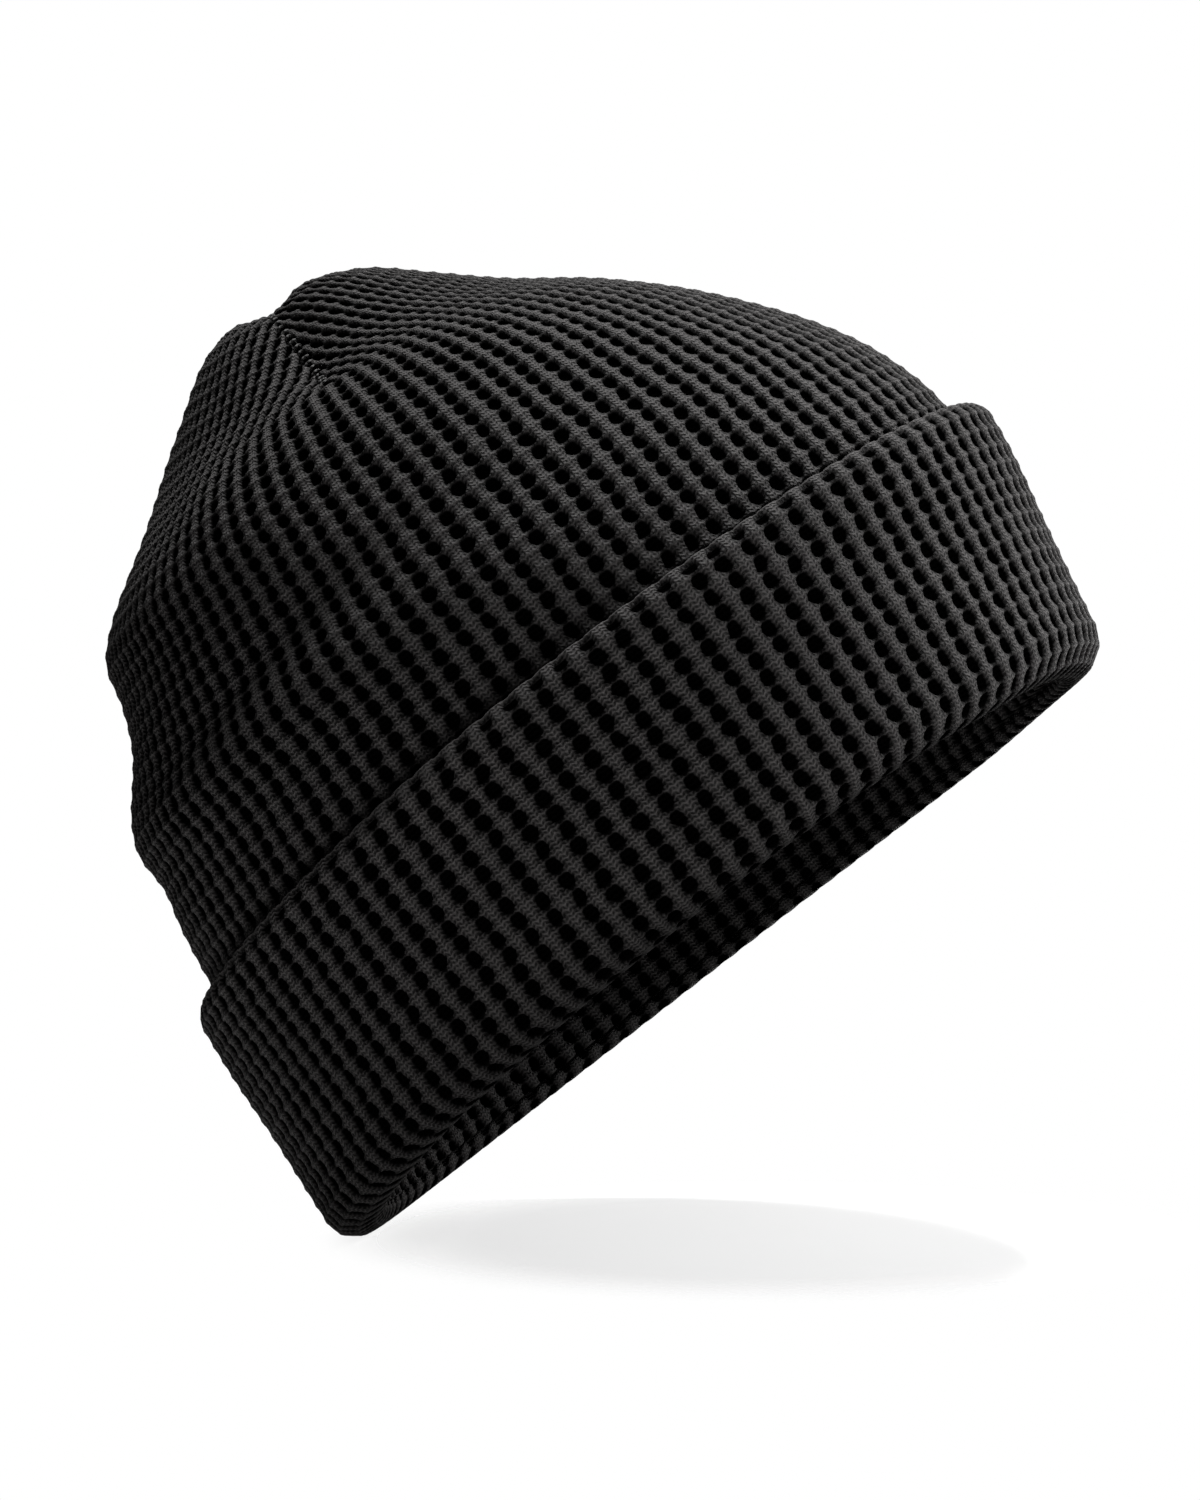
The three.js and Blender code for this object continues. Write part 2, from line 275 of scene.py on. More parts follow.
def waffle(kind, depth):
    """Knit columns of mesh rows of the given kinds, with the relief and the painted shade of the
    pockets. No two pockets are quite alike: each lies a little to one side and is a little wider or
    narrower."""
    floor, mouth = np.array(FLOOR_WIDTH)[kind], np.array(MOUTH_WIDTH)[kind]
    middle, edge = np.array(MIDDLE_DEPTH)[kind], np.array(EDGE_DEPTH)[kind]
    rib = np.array(RIB_DEPTH)[kind]
    beside = middle * FLOOR_EDGE_DEPTH
    relief = -depth * np.stack([middle, beside, edge, rib, edge, beside], 1)
    # Painted shade: the pockets' colour is darkened most at the floor's middle, less at its edges, and
    # not on the ribs.
    middle, edge = np.array(MIDDLE_PAINTED_SHADE)[kind], np.array(EDGE_PAINTED_SHADE)[kind]
    beside = middle * FLOOR_EDGE_PAINTED_SHADE
    dark = np.stack([middle, beside, edge, rib * 0, edge, beside], 1)
    cell = np.cumsum(kind == 0)
    shift = jitter.normal(0, SHIFT_SPREAD, (cell[-1] + 1, COLUMNS + 1))[cell]
    shift[:, -1] = shift[:, 0]
    wide = jitter.normal(1, WIDTH_SPREAD, (cell[-1] + 1, COLUMNS + 1))[cell]
    wide[:, -1] = wide[:, 0]
    here, there = shift[:, :-1], shift[:, 1:]
    wide_here, wide_there = wide[:, :-1], wide[:, 1:]
    across = np.stack([
        here,
        here + floor[:, None] * wide_here,
        here + mouth[:, None] * wide_here,
        0.5 + (here + there) / 2,
        1 + there - mouth[:, None] * wide_there,
        1 + there - floor[:, None] * wide_there,
    ], 2)
    u = (np.arange(COLUMNS)[None, :, None] + across).reshape(len(kind), -1)
    return u, np.tile(relief, COLUMNS), np.tile(dark, COLUMNS)


def plain(count):
    """Knit columns of mesh rows that have no relief, as many of them as a waffled row has."""
    return np.tile(waffle(np.zeros(1, dtype=int), 0)[0], (count, 1))


def knit_object(name, rows, u, v, pocket):
    """A closed mesh of a grid of points that goes round the hat and round the layer's section."""
    count, around = rows.shape[:2]
    mesh = bpy.data.meshes.new(name)
    r, c = np.meshgrid(np.arange(count), np.arange(around), indexing="ij")
    rn, cn = (r + 1) % count, (c + 1) % around
    quads = np.stack([r * around + c, r * around + cn, rn * around + cn, rn * around + c], -1)
    mesh.vertices.add(count * around)
    mesh.vertices.foreach_set("co", rows.astype(np.float32).ravel())
    mesh.loops.add(quads.size)
    mesh.loops.foreach_set("vertex_index", quads.astype(np.int32).ravel())
    mesh.polygons.add(count * around)
    mesh.polygons.foreach_set("loop_start", np.arange(0, quads.size, 4, dtype=np.int32))
    mesh.update(calc_edges=True)
    mesh.polygons.foreach_set("use_smooth", np.ones(count * around, dtype=bool))
    layout = mesh.uv_layers.new(name="OFBake")
    corner_u = np.stack([c, c + 1, c + 1, c], -1).reshape(-1) / around
    corner_v = np.stack([r, r, r + 1, r + 1], -1).reshape(-1) / count
    layout.uv.foreach_set("vector", np.stack([corner_u, corner_v], -1).astype(np.float32).ravel())
    u_next = np.roll(u, -1, axis=1)
    u_next[:, -1] += COLUMNS
    u_corners = np.stack([u[r, c], u_next[r, c], u_next[rn, c], u[rn, c]], -1)
    attribute = mesh.attributes.new("knit_u", "FLOAT", "CORNER")
    attribute.data.foreach_set("value", u_corners.astype(np.float32).ravel())
    # The pocket attribute carries the painted shade of the pockets and seams.
    for label, values in (("knit_v", v), ("pocket", pocket)):
        values = np.broadcast_to(values, (count, around))
        attribute = mesh.attributes.new(label, "FLOAT", "POINT")
        attribute.data.foreach_set("value", values.astype(np.float32).ravel())
    made = bpy.data.objects.new(name, mesh)
    bpy.context.scene.collection.objects.link(made)
    return made


def new_material(name):
    """A material, and short ways to add to it: a maths node, and a mesh attribute's value."""
    material = bpy.data.materials.new(name)
    material.use_nodes = True
    nodes, links = material.node_tree.nodes, material.node_tree.links

    def calc(operation, *sources):
        node = nodes.new("ShaderNodeMath")
        node.operation = operation
        for socket, source in zip(node.inputs, sources):
            if isinstance(source, (int, float)):
                socket.default_value = source
            else:
                links.new(source, socket)
        return node.outputs[0]

    def attribute(label):
        node = nodes.new("ShaderNodeAttribute")
        node.attribute_name = label
        return node.outputs["Fac"]

    return material, nodes, links, calc, attribute


COURSES = 4.0            # rows of stitches in a waffle cell
LEG_WIDTH = 0.135        # one leg of a V stitch, in cells
HOLE_ROW, HOLE_COLUMN = 0.76, 0.2  # the small holes beside a rib: row phase, and cells from the rib
HOLE_HEIGHT, HOLE_WIDTH = 0.1, 0.05  # in cells
STRAND_HEIGHT = 0.35 * MM


def knit_material(name, shade):
    """Matt black spun yarn: rows of small V stitches on the ribs, with painted shade between the
    strands, in small holes and in the pockets between the ribs.
    """
    material, nodes, links, calc, attribute = new_material(name)
    shader = nodes["Principled BSDF"]

    def noise(scale, detail):
        node = nodes.new("ShaderNodeTexNoise")
        node.inputs["Scale"].default_value = scale
        node.inputs["Detail"].default_value = detail
        links.new(place.outputs["Object"], node.inputs["Vector"])
        return node.outputs["Fac"]

    def bell(value, width):
        share = calc("POWER", calc("DIVIDE", value, width), 2.0)
        return calc("EXPONENT", calc("MULTIPLY", share, -1.0))

    # The yarn's fuzz, its cloudy dye, and how the stitches wander from their rows.
    place = nodes.new("ShaderNodeTexCoord")
    fuzz = noise(2600, 3)
    cloud = noise(45, 2)
    wander = calc("MULTIPLY_ADD", noise(420, 1), 0.16, -0.08)
    u = calc("ADD", attribute("knit_u"), calc("MULTIPLY", wander, 0.35))
    v = calc("ADD", attribute("knit_v"), wander)

    # The strands of a row run up one leg of each V and down the next; the eye between legs is darkened
    # as painted shade.
    from_rib = calc("SUBTRACT", calc("FRACT", u), 0.5)
    leg = calc("DIVIDE", from_rib, LEG_WIDTH)
    zigzag = calc("ABSOLUTE", calc("SUBTRACT", calc("FRACT", calc("MULTIPLY", leg, 0.5)), 0.5))
    course = calc("MULTIPLY_ADD", v, COURSES, zigzag)
    wave = calc("COSINE", calc("MULTIPLY", course, 2 * math.pi))
    strand = calc("MULTIPLY_ADD", wave, 0.5, 0.5)
    between_legs = bell(calc("SUBTRACT", calc("FRACT", leg), 0.5), 0.3)
    eye_painted_shade = calc("MULTIPLY", between_legs, calc("SUBTRACT", 1.0, strand))

    # Each cell has a small hole on both sides of its rib, where the pocket's corners are drawn in; the
    # holes are darkened as painted shade.
    row_place = calc("SUBTRACT", calc("FRACT", calc("ADD", v, HOLE_ROW)), 0.5)
    hole_column = bell(calc("SUBTRACT", calc("ABSOLUTE", from_rib), HOLE_COLUMN), HOLE_WIDTH)
    hole = calc("MULTIPLY", hole_column, bell(row_place, HOLE_HEIGHT))
    stitch = calc("MULTIPLY_ADD", strand, 0.6, 0.4)
    stitch = calc("MULTIPLY", stitch, calc("MULTIPLY_ADD", eye_painted_shade, -1.0, 1.0))
    stitch = calc("MULTIPLY", stitch, calc("MULTIPLY_ADD", hole, -1.0, 1.0))

    # Painted shade: the colour is darker between strands and almost black in the pockets and seams,
    # where shade falls.
    light = calc("MULTIPLY_ADD", stitch, 1.35, 0.02)
    light = calc("MULTIPLY", light, calc("MULTIPLY_ADD", fuzz, 1.1, 0.45))
    light = calc("MULTIPLY", light, calc("MULTIPLY_ADD", cloud, 0.5, 0.75))
    pocket = calc("SMOOTH_MIN", calc("MULTIPLY", attribute("pocket"), 1.25), 1.0, 0.15)
    light = calc("MULTIPLY", light, calc("MULTIPLY_ADD", pocket, -0.985, 1.0))
    colour = nodes.new("ShaderNodeMix")
    colour.data_type = "RGBA"
    colour.blend_type = "MULTIPLY"
    colour.inputs["Factor"].default_value = 1
    colour.inputs[6].default_value = (*shade, 1)
    grey = nodes.new("ShaderNodeCombineColor")
    for socket in grey.inputs[:3]:
        links.new(light, socket)
    links.new(grey.outputs[0], colour.inputs[7])
    links.new(colour.outputs[2], shader.inputs["Base Color"])
    links.new(calc("MULTIPLY_ADD", fuzz, 0.2, 0.72), shader.inputs["Roughness"])
    # Painted shade also takes the specular reflection out of the pockets.
    links.new(calc("MULTIPLY_ADD", pocket, -0.1, 0.1), shader.inputs["Specular IOR Level"])
    bump = nodes.new("ShaderNodeBump")
    bump.inputs["Distance"].default_value = STRAND_HEIGHT
    bump.inputs["Strength"].default_value = 0.8
    links.new(calc("MULTIPLY_ADD", fuzz, 0.4, stitch), bump.inputs["Height"])
    links.new(bump.outputs["Normal"], shader.inputs["Normal"])
    return material


black_knit = knit_material("black_knit", (0.0175, 0.0163, 0.016))


def dome_columns(u, rise):
    """Angles of knit columns. From the start of the darts each quarter of the crown keeps its middle
    columns, and its outer ones go down into the seams. Also how far each one is in a seam."""
    turned = 2 * math.pi * (u + 0.5) / COLUMNS
    middle = (np.floor(turned / (math.pi / 2)) + 0.5) * math.pi / 2
    reach = np.interp(rise, side_line[0], side_line[1])
    start_reach = np.interp(dart_rise, side_line[0], side_line[1])
    kept = np.minimum(1, np.maximum(reach / start_reach, 0.02) ** DART_CLOSING)
    opened = (turned - middle) / kept
    to_crown = (1 - rise) * dome_length
    eyelet = np.maximum(0, np.cos(2 * math.pi * to_crown / EYELET_SPACING)) ** 2
    slit = seam_share(rise) * (SLIT_WIDTH + EYELET_WIDTH * eyelet) * MM
    edge = math.pi / 4 - np.minimum(slit / np.maximum(reach, 1 * MM), 0.3)
    past = np.maximum(np.abs(opened) - edge, 0)
    most_past = np.maximum(math.pi / 4 / kept - edge, 1e-6)
    tucked = np.sign(opened) * (edge + (math.pi / 4 - edge) * past / most_past)
    angle = middle + np.where(past > 0, tucked, opened)
    spread = DART_TURN * smooth(0.3, 0.7, rise)
    in_seam = np.clip(past * reach / (0.5 * MM), 0, 1) * seam_share(rise)
    return angle - spread / 2 * np.sin(2 * angle), in_seam


def from_dart(angle):
    """The turn from an angle to the nearest dart; the darts are a quarter turn apart."""
    return angle - np.round(angle / (math.pi / 2)) * (math.pi / 2)


def dome_layer(v, u, offset, relief, drop=0.0, facing=1):
    """Rows of one face of a dome layer, and how far each point is in a seam. Facing is 1 on an outer
    face and -1 on one towards the head, and drop is how much the layer hangs away at the crown."""
    rise = np.broadcast_to((v / dome_rows)[:, None], u.shape)
    angle, in_seam = dome_columns(u, rise)
    base = shell_points(angle, rise)
    radius = np.hypot(base[..., 0], base[..., 1])
    across = radius * np.sin(from_dart(angle))
    dip = DART_DIP * np.exp(-((across / DART_SPREAD) ** 2))
    dip = dip * dart_share(rise)
    relief_left = 1 - crown_share(rise)
    out = offset - dip - drop * drop_share(rise) + slump(angle, base[..., 2])
    out = out + unevenness(angle, rise) * relief_left
    into_seam = SEAM_SINK * in_seam * relief_left
    out = out + facing * (relief * relief_left * (1 - in_seam) - into_seam)
    rows = base + outward(angle, rise) * out[..., None]
    rows[..., 2] += ear_lift(angle, base[..., 2])
    return rows, in_seam


crown_end = [dome_rows - 0.5, dome_rows - 0.08]  # the last rows, close round the crown point


def dome_object(name, faces):
    """A dome layer of an outer and an inner face, each of them as knit rows, columns and depths."""
    rows, u, v, pocket = (np.concatenate(parts) for parts in zip(*faces))
    return knit_object(name, rows, u, v, pocket)


def dome_face(first, last, depth, offset, drop=0.0, facing=1, tail=()):
    """A waffled face of a dome layer between two whole cells, with plain rows below and above it."""
    v, kind = cell_rows(first, last)
    u, relief, dark = waffle(kind, depth)
    top = np.array([last, last + 0.45, *crown_end])
    v = np.concatenate([tail, v, top])
    u = np.concatenate([plain(len(tail)), u, plain(len(top))])
    none = np.zeros((len(top), u.shape[1]))
    relief = np.concatenate([np.repeat(relief[:1], len(tail), axis=0), relief, none])
    dark = np.concatenate([np.repeat(dark[:1], len(tail), axis=0), dark, none])
    rows, in_seam = dome_layer(v, u, offset, relief, drop, facing)
    # The last of these is the painted shade of the pockets, and of the seams where the cloth goes in.
    return rows, u, np.broadcast_to(v[:, None], u.shape), np.maximum(dark, in_seam * SEAM_PAINTED_SHADE)


def dome_back(first, offset, drop=0.0):
    """A plain face of a dome layer, against its neighbour."""
    v = np.concatenate([[first], np.arange(3.0, dome_rows - 1, 2.5), crown_end])
    u = plain(len(v))
    rows = dome_layer(v, u, offset, np.zeros(u.shape), drop)[0]
    return rows, u, np.broadcast_to(v[:, None], u.shape), np.zeros(u.shape)


def reverse(face):
    """A face with its rows in the other order, so that the next face goes on where it ends."""
    return tuple(part[::-1] for part in face)


SHELL_FIRST_ROW = 1.7    # the shell's lower edge, in waffle cells from the rim
shown_from = int(0.25 * dome_rows)  # below this row the shell is hidden by the cuff, and plain
shell_tail = (SHELL_FIRST_ROW, 4.0, 7.0, 10.0)
shell_face = dome_face(shown_from, dome_rows - 1, POCKET_DEPTH, 0.0, tail=shell_tail)
shell_back = dome_back(SHELL_FIRST_ROW, -LAYER * 0.95)
crown_shell = dome_object("knit_crown_shell", [shell_face, reverse(shell_back)])
crown_shell.data.materials.append(black_knit)
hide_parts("crown_shell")
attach(crown_shell, "root")

# ---- Crown lining ----
# The inner layer: a second dome of the same knit, joined to the shell by the turn under the rim.
# Its waffle face is towards the head.
CROWN_ROOM = 3.4 * MM    # how much lower the lining hangs at the crown point
LINING_POCKET_DEPTH = 1.6 * MM
LINING_FIRST_ROW = 0.9   # its lower edge, in waffle cells from the rim
lining_offset = -(LAYER + GAP)
lining_back = lining_offset - LAYER
lining_outer = dome_back(LINING_FIRST_ROW, lining_offset, CROWN_ROOM)
lining_inner = dome_face(
    1, dome_rows - 1, LINING_POCKET_DEPTH, lining_back, CROWN_ROOM, -1, tail=(LINING_FIRST_ROW,)
)
crown_lining = dome_object("knit_crown_lining", [lining_outer, reverse(lining_inner)])
crown_lining.data.materials.append(black_knit)
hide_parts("crown_lining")
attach(crown_lining, "root")

# ---- Cuff, outer layer ----
# The bottom of the tube is turned up once, so the cuff's face is the lining's own waffle. Its top
# edge is a thick rolled fold and its bottom turns under the rim, where it meets the lining.
RIM_ROUND, RIM_ROUND_INSIDE = 6.5 * MM, 3.2 * MM
CUFF_ROWS = 19           # waffle cells from the inner end, round the rim, up the face and over the fold
cuff_inner_face = GAP
cuff_inner_back = cuff_inner_face + LAYER
cuff_outer_face = cuff_inner_back + GAP
cuff_outer_back = cuff_outer_face + LAYER
fold_radius = (cuff_outer_back - cuff_inner_face) / 2
fold_middle = cuff_inner_face + fold_radius
# The wall's height is looked up in a table, for each millimetre at spots two degrees apart.
HEIGHT_STEPS, SPOTS = 80, 180
band_heights = np.linspace(0, HEIGHT_STEPS * MM, HEIGHT_STEPS + 1)


def band_rows(section, u, relief):
    """Rows of a band whose section is a list of (height share, height, offset) points. Relief is
    how far each point's face stands out, square to the section."""
    share, height, offset = (np.array(x)[:, None] for x in zip(*section))
    angle = 2 * math.pi * (u + 0.5) / COLUMNS
    z = share * (CUFF_HEIGHT + CUFF_TILT * np.cos(angle)) + height
    rise = np.linspace(0, 0.6, 241)
    spots = np.linspace(0, 2 * math.pi, SPOTS + 1)
    heights = shell_points(spots[None, :], rise[:, None])[..., 2]
    table = np.array([np.interp(band_heights, heights[:, k], rise) for k in range(len(spots))])
    along_spot = (angle % (2 * math.pi)) / (2 * math.pi) * SPOTS
    low = np.minimum(along_spot.astype(int), SPOTS - 1)
    part = along_spot - low
    step = np.clip(z / MM, 0, HEIGHT_STEPS - 0.001)
    up = step.astype(int)
    up_part = step - up
    lower = table[low, up] * (1 - part) + table[low + 1, up] * part
    upper = table[low, up + 1] * (1 - part) + table[low + 1, up + 1] * part
    at_rise = lower * (1 - up_part) + upper * up_part
    base = shell_points(angle, at_rise)
    along = shell_points(angle + 0.004, at_rise) - shell_points(angle - 0.004, at_rise)
    level_out = unit(np.stack([along[..., 1], -along[..., 0]], -1))
    nominal = np.concatenate([share * CUFF_HEIGHT + height, offset], -1)
    forward = unit(np.roll(nominal, -1, axis=0) - np.roll(nominal, 1, axis=0))
    out = offset + forward[:, :1] * relief + unevenness(angle, z / HAT_HEIGHT)
    xy = base[..., :2] + level_out * out[..., None]
    z = z - forward[:, 1:] * relief
    sag = FOLD_SAG[0] * np.cos(angle) ** 2 + FOLD_SAG[1] * np.sin(angle) ** 2
    sag = sag * smooth(0.4 * CUFF_HEIGHT, CUFF_HEIGHT, z)
    return np.concatenate([xy, (z + ear_lift(angle, z) - sag)[..., None]], -1)


def arc(share, height, offset, radius, start, end, steps):
    """Points of a section on part of a circle, between two angles in degrees."""
    turn_by = np.radians(np.linspace(start, end, steps + 1))
    return [(share, height + radius * math.sin(a), offset + radius * math.cos(a)) for a in turn_by]


def resampled(section, at):
    """Points of a section at given distances along it, and its length."""
    s = np.array(section)
    flat = np.stack([s[:, 0] * CUFF_HEIGHT + s[:, 1], s[:, 2]], -1)
    way = np.concatenate([[0], np.cumsum(np.linalg.norm(np.diff(flat, axis=0), axis=1))])
    return [tuple(np.interp(x, way, s[:, k]) for k in range(3)) for x in at], way[-1]


face_section = (
    [(0, LAYER + 0.6 * MM, lining_back)]
    + arc(0, RIM_ROUND_INSIDE, lining_back + RIM_ROUND_INSIDE, RIM_ROUND_INSIDE, 180, 270, 6)
    + arc(0, RIM_ROUND, cuff_outer_back - RIM_ROUND, RIM_ROUND, 270, 360, 8)
    + [(0.25, 0, cuff_outer_back), (0.5, 0, cuff_outer_back), (0.75, 0, cuff_outer_back)]
    + arc(1, -fold_radius, fold_middle, fold_radius, 0, 180, 16)
)
face_length = resampled(face_section, [0])[1]
cuff_v, cuff_kind = cell_rows(0, CUFF_ROWS)
face_points = resampled(face_section, cuff_v / CUFF_ROWS * face_length)[0]

# The layer's back: round the inside of the fold, down the wall, and under the rim to the inner end.
hidden = (
    arc(1, -fold_radius, fold_middle, fold_radius, 180, 180, 0)
    + arc(1, -fold_radius, fold_middle, fold_radius - LAYER * 0.9, 180, 0, 3)
    + [(0.5, 0, cuff_outer_face), (0, LAYER + 3 * MM, cuff_outer_face)]
    + [(0, LAYER, cuff_outer_face - 1 * MM), (0, LAYER, lining_back + 1.5 * MM)]
)
cuff_u, cuff_relief, cuff_painted_shade = waffle(cuff_kind, POCKET_DEPTH)

# The relief is pulled flatter round the rim and over the fold, where the cloth is stretched, and
# the painted shade in the pockets is made lighter on the fold, where more light falls into them.
cuff_share = cuff_v / CUFF_ROWS
round_rim = smooth(0.02, 0.05, cuff_share) - smooth(0.1, 0.15, cuff_share)
over_fold = smooth(0.9, 0.96, cuff_share)
fold_lighter_painted_shade = smooth(0.89, 0.92, cuff_share)
cuff_relief = cuff_relief * ((1 - 0.75 * round_rim) * (1 - 0.6 * over_fold))[:, None]
cuff_painted_shade = cuff_painted_shade * (1 - 0.65 * fold_lighter_painted_shade)[:, None]
none = np.zeros((len(hidden), cuff_u.shape[1]))
cuff_u = np.concatenate([cuff_u, plain(len(hidden))])
cuff_outer = knit_object(
    "knit_cuff_outer_layer",
    band_rows(face_points + hidden, cuff_u, np.concatenate([cuff_relief, none])),
    cuff_u,
    np.concatenate([cuff_v, np.full(len(hidden), 0.5)])[:, None],
    np.concatenate([cuff_painted_shade, none]),
)
cuff_outer.data.materials.append(black_knit)
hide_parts("cuff_outer_layer")
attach(cuff_outer, "root")

# ---- Cuff, inner layer ----
# The shell's own end, turned up between the cuff's face and the wall, of the same black knit. The
# fold round it holds it in place, and no part of it is seen.
inner_section = [
    (0, 2 * LAYER + GAP, cuff_inner_face),
    (0, 2 * LAYER + GAP, -LAYER),
    (0, LAYER + GAP, -LAYER),
    (0, LAYER + GAP, cuff_inner_back - LAYER / 2),
    (0, 1.5 * LAYER + GAP, cuff_inner_back),
    (0.5, 0, cuff_inner_back),
    (1, -fold_radius - GAP, cuff_inner_back),
    (1, -fold_radius - GAP, cuff_inner_face),
    (0.5, 0, cuff_inner_face),
]
inner_u = plain(len(inner_section))
cuff_inner = knit_object(
    "knit_cuff_inner_layer",
    band_rows(inner_section, inner_u, np.zeros(inner_u.shape)),
    inner_u,
    np.linspace(0, 16, len(inner_section))[:, None],
    np.zeros((1, 1)),
)
cuff_inner.data.materials.append(black_knit)
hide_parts("cuff_inner_layer")
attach(cuff_inner, "root")

# ---- Dart seams ----
# Each dart of the crown is closed by one overcast thread, which winds through both edges and draws
# them together between a row of small eyelets. The shell's seams lie outside, the lining's inside.
THREAD_RADIUS = 0.36 * MM
THREAD_SIDES = 10
PLY_PITCH = 0.9 * MM     # along the thread, from one ply to the next
SEAM_PITCH = 2.3 * MM    # along the seam, from one turn of the thread to the next
SEAM_START = 5 * MM      # from the crown point
SEAM_END = 2 * MM        # left of the dart below the last turn
SEAM_REACH = 0.95 * MM   # of the thread, to each side of the seam's middle
SEAM_HEIGHT = 0.75 * MM  # of the thread's turns, up and down
SEAM_DEPTH = 1.15 * MM   # how deep the middle of the turns lies under the cloth's face


def thread_object(name, path, radius):
    """A closed round thread along a path of points. It narrows at both ends."""
    path = np.array(path)
    tangent = unit(np.gradient(path, axis=0))
    helper = np.where(np.abs(tangent[:, 2:]) < 0.8, [[0, 0, 1.0]], [[1.0, 0, 0]])
    side = unit(np.cross(tangent, helper))
    up = np.cross(side, tangent)
    around = THREAD_SIDES
    turns = np.linspace(0, 2 * math.pi, around, endpoint=False)
    width = radius * np.minimum(1, np.sin(np.linspace(0.05, math.pi - 0.05, len(path))) * 12)
    ring = side[:, None] * np.cos(turns)[None, :, None] + up[:, None] * np.sin(turns)[None, :, None]
    points = (path[:, None] + ring * width[:, None, None]).reshape(-1, 3)
    faces = []
    for i in range(len(path) - 1):
        here, there = i * around, (i + 1) * around
        for k in range(around):
            n = (k + 1) % around
            faces.append((here + k, here + n, there + n, there + k))
    faces.append(tuple(range(around - 1, -1, -1)))
    last = (len(path) - 1) * around
    faces.append(tuple(range(last, last + around)))
    mesh = bpy.data.meshes.new(name)
    mesh.from_pydata(points.tolist(), [], faces)
    mesh.polygons.foreach_set("use_smooth", [True] * len(faces))
    attribute = mesh.attributes.new("along", "FLOAT", "POINT")
    way = np.concatenate([[0], np.cumsum(np.linalg.norm(np.diff(path, axis=0), axis=1))])
    attribute.data.foreach_set("value", np.repeat(way, around).astype(np.float32))
    attribute = mesh.attributes.new("round", "FLOAT", "POINT")
    side_turn = np.tile(np.abs(turns - math.pi), len(path))
    attribute.data.foreach_set("value", side_turn.astype(np.float32))
    made = bpy.data.objects.new(name, mesh)
    bpy.context.scene.collection.objects.link(made)
    return made


def thread_material(name, shade):
    """Two-ply thread: lines of painted shade wind round it between the plies."""
    material, nodes, links, calc, attribute = new_material(name)
    shader = nodes["Principled BSDF"]
    place = nodes.new("ShaderNodeTexCoord")
    fuzz = nodes.new("ShaderNodeTexNoise")
    fuzz.inputs["Scale"].default_value = 3000
    links.new(place.outputs["Object"], fuzz.inputs["Vector"])
    wound = calc("MULTIPLY_ADD", attribute("along"), 2 * math.pi / PLY_PITCH, attribute("round"))
    ply = calc("MULTIPLY_ADD", calc("SINE", wound), 0.5, 0.5)
    # Painted shade: the colour is darker in the grooves between the plies.
    light = calc("MULTIPLY_ADD", ply, 0.9, 0.3)
    light = calc("MULTIPLY", light, calc("MULTIPLY_ADD", fuzz.outputs["Fac"], 1.0, 0.5))
    tint = nodes.new("ShaderNodeMix")
    tint.data_type = "RGBA"
    tint.inputs[6].default_value = (0.001, 0.001, 0.001, 1)
    tint.inputs[7].default_value = (*shade, 1)
    links.new(light, tint.inputs["Factor"])
    links.new(tint.outputs[2], shader.inputs["Base Color"])
    links.new(calc("MULTIPLY_ADD", fuzz.outputs["Fac"], 0.3, 0.55), shader.inputs["Roughness"])
    shader.inputs["Specular IOR Level"].default_value = 0.1
    bump = nodes.new("ShaderNodeBump")
    bump.inputs["Distance"].default_value = 0.15 * MM
    links.new(ply, bump.inputs["Height"])
    links.new(bump.outputs["Normal"], shader.inputs["Normal"])
    return material


black_thread = thread_material("black_thread", (0.016, 0.0155, 0.015))


def seam_path(angle, offset, drop, facing):
    """An overcast winding along a dart, from near the crown point to the dart's lower end."""
    turns = int((DART_LENGTH - SEAM_START - SEAM_END) / SEAM_PITCH)
    t = np.linspace(0, turns, turns * 12 + 1)
    rise = 1 - (SEAM_START + SEAM_PITCH * t) / dome_length
    radius = np.interp(rise, side_line[0], side_line[1])
    across = SEAM_REACH * np.cos(2 * math.pi * t)
    at = angle + across / np.maximum(radius, 3 * MM)
    base = shell_points(at, rise)
    dip = DART_DIP * dart_share(rise)
    out = offset - dip - drop * drop_share(rise)
    out = out + unevenness(at, rise) * (1 - crown_share(rise))
    out = out + facing * (SEAM_HEIGHT * np.sin(2 * math.pi * t) - SEAM_DEPTH)
    return base + outward(at, rise) * out[..., None]


seamed_layers = (("shell", 0.0, 0.0, 1), ("lining", lining_back, CROWN_ROOM, -1))
for index, side in enumerate(("front", "left", "back", "right")):
    angle = index * math.pi / 2
    for layer, offset, drop, facing in seamed_layers:
        path = seam_path(angle, offset, drop, facing)
        seam = thread_object(f"seam_{layer}_{side}", path, THREAD_RADIUS)
        seam.data.materials.append(black_thread)
        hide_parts(f"{layer}_dart_seam_{side}")
        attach(seam, "root")

# ---- Crown tack ----
# A few turns of thread between the shell and the lining at the crown point. They hold the two domes
# together where all the darts meet, and can't be seen from outside.
TACK_TURNS = 9
TACK_RADIUS = 1.7 * MM
TACK_TOP, TACK_BOTTOM = 0.75 * MM, 2.6 * MM  # its ends, below the shell's inner face
TACK_THREAD_RADIUS = 0.4 * MM
shell_underside = shell_points(np.array([0.0]), np.array([1.0]))[0, 2] - LAYER
tack_path = []
for i in range(TACK_TURNS):
    turn = 2 * math.pi * i * 4 / TACK_TURNS
    ends = (shell_underside - TACK_TOP, shell_underside - TACK_BOTTOM)
    for z in ends if i % 2 else ends[::-1]:
        tack_path.append((TACK_RADIUS * math.cos(turn), TACK_RADIUS * math.sin(turn), z))
tack_path = np.array(tack_path)
fine = np.linspace(0, len(tack_path) - 1, 150)
corner = np.arange(len(tack_path))
